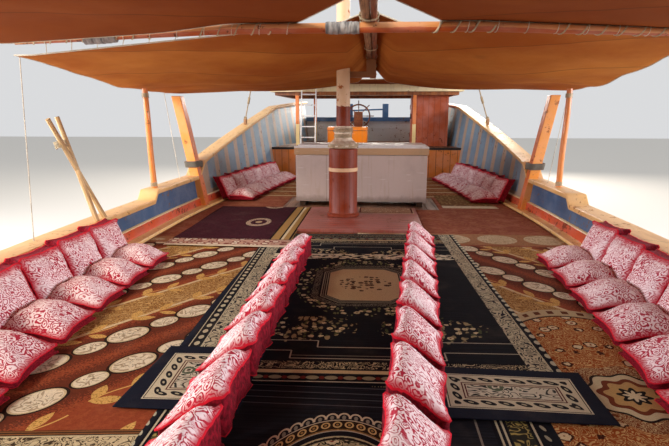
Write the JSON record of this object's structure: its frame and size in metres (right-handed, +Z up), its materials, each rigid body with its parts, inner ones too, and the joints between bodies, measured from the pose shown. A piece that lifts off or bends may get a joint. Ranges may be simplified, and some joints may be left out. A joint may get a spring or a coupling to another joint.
{
  "type": "wooden dhow sailing boat",
  "caption": "Wooden sailing dhow with a raked stem, a square stern, one mast with a lateen yard, canvas awnings over a carpeted deck of floor cushions, and a rudder and screw that turn.",
  "frame": {"origin": "on the waterline, at the centre line, 1 m forward of the widest section", "axes": "+Y points aft to the stern, -Y to the bow, +X to port, +Z up; z = 0 is the water"},
  "size_m": [6.9, 23.2462, 15.2644],
  "materials": {
    "bottom_paint": "wood under dull red-brown bottom paint",
    "topside_wood": "oiled teak",
    "deck_wood": "worn deck planks",
    "orange_paint": "wood under orange paint",
    "cream_paint": "wood under pale yellow paint",
    "blue_paint": "wood under blue paint",
    "brown_paint": "wood under glossy red-brown paint",
    "pole_wood": "bare round poles",
    "rope": "laid rope and sacking",
    "canvas": "weathered tan canvas",
    "cushion": "mottled damask with deep red plush edges",
    "carpet_dark": "dark woven runner with pale medallions",
    "carpet_rust": "rust-brown woven carpet",
    "chest_white": "moulded insulated shell, off-white",
    "orange_box": "moulded orange plastic",
    "aluminium": "plain tube",
    "bronze": "cast bronze"
  },
  "bodies": {
    "boat": {"hull": "bottom_paint", "deadwood": "bottom_paint", "backbone": "topside_wood", "main_deck": "deck_wood", "poop_deck": "deck_wood", "poop_front": "orange_paint", "bulwark_port": "topside_wood", "cap_rail_port": "cream_paint", "wale_port": "orange_paint", "waterway_port": "cream_paint", "kingpost_port": "orange_paint", "bulwark_starboard": "topside_wood", "cap_rail_starboard": "cream_paint", "wale_starboard": "orange_paint", "waterway_starboard": "cream_paint", "kingpost_starboard": "orange_paint", "transom": "topside_wood", "taffrail": "blue_paint", "mast": "brown_paint", "mast_wrap": "rope", "shroud_port": "rope", "shroud_starboard": "rope", "ridge_pole": "pole_wood", "ridge_side_pole": "brown_paint", "cross_spar": "pole_wood", "ridge_bearer": "pole_wood", "fore_crutch": "pole_wood", "awning_fore": "canvas", "awning_mid": "canvas", "awning_aft": "canvas", "rail_pole_port": "orange_paint", "rail_pole_starboard": "orange_paint", "crossed_poles": "pole_wood", "ice_chest": "chest_white", "mast_platform": "brown_paint", "storage_box": "orange_box", "shelter_frame": "topside_wood", "shelter_roof": "cream_paint", "cubicle": "brown_paint", "ladder": "aluminium", "helm_stand": "topside_wood", "bow_bitts": "blue_paint", "carpet_port": "carpet_rust", "carpet_starboard": "carpet_rust", "carpet_runner": "carpet_dark", "carpet_aft": "carpet_rust", "seat_row_port": "cushion", "back_row_port": "cushion", "middle_row_port": "cushion", "aft_row_port": "cushion", "seat_row_starboard": "cushion", "back_row_starboard": "cushion", "middle_row_starboard": "cushion", "aft_row_starboard": "cushion"},
    "rudder": {"rudder": "topside_wood"},
    "propeller": {"propeller": "bronze"},
    "helm_wheel": {"helm_wheel": "topside_wood"},
    "ice_chest_lid": {"ice_chest_lid": "chest_white"},
    "cubicle_door": {"cubicle_door": "brown_paint"},
    "yard": {"yard": "pole_wood"}
  },
  "joints": [
    {"name": "rudder_swing", "type": "hinge", "parent": "boat", "child": "rudder", "pos_m": [0, 10.67, 0], "axis": [0, 0.2873, 0.9578], "range_deg": [-35, 35]},
    {"name": "propeller_spin", "type": "hinge", "parent": "boat", "child": "propeller", "pos_m": [0, 9.48, -0.76], "axis": [0, 1, 0], "continuous": true},
    {"name": "helm_turn", "type": "hinge", "parent": "boat", "child": "helm_wheel", "pos_m": [-0.25, 9.25, 2.78], "axis": [0, -1, 0], "range_deg": [-720, 720]},
    {"name": "chest_lid", "type": "hinge", "parent": "boat", "child": "ice_chest_lid", "pos_m": [0, 3.44, 2.102], "axis": [-1, 0, 0], "range_deg": [0, 95]},
    {"name": "cubicle_door", "type": "hinge", "parent": "boat", "child": "cubicle_door", "pos_m": [1.286, 8.89, 2.8], "axis": [0, 0, -1], "range_deg": [0, 100]},
    {"name": "yard_swing", "type": "hinge", "parent": "boat", "child": "yard", "pos_m": [-0.25, 1.0545, 9.2], "axis": [0, -0.0499, 0.9988], "range_deg": [-50, 50]}
  ],
  "couplings": [
    {"joint": "helm_turn", "follows": "rudder_swing", "ratio": 20}
  ]
}
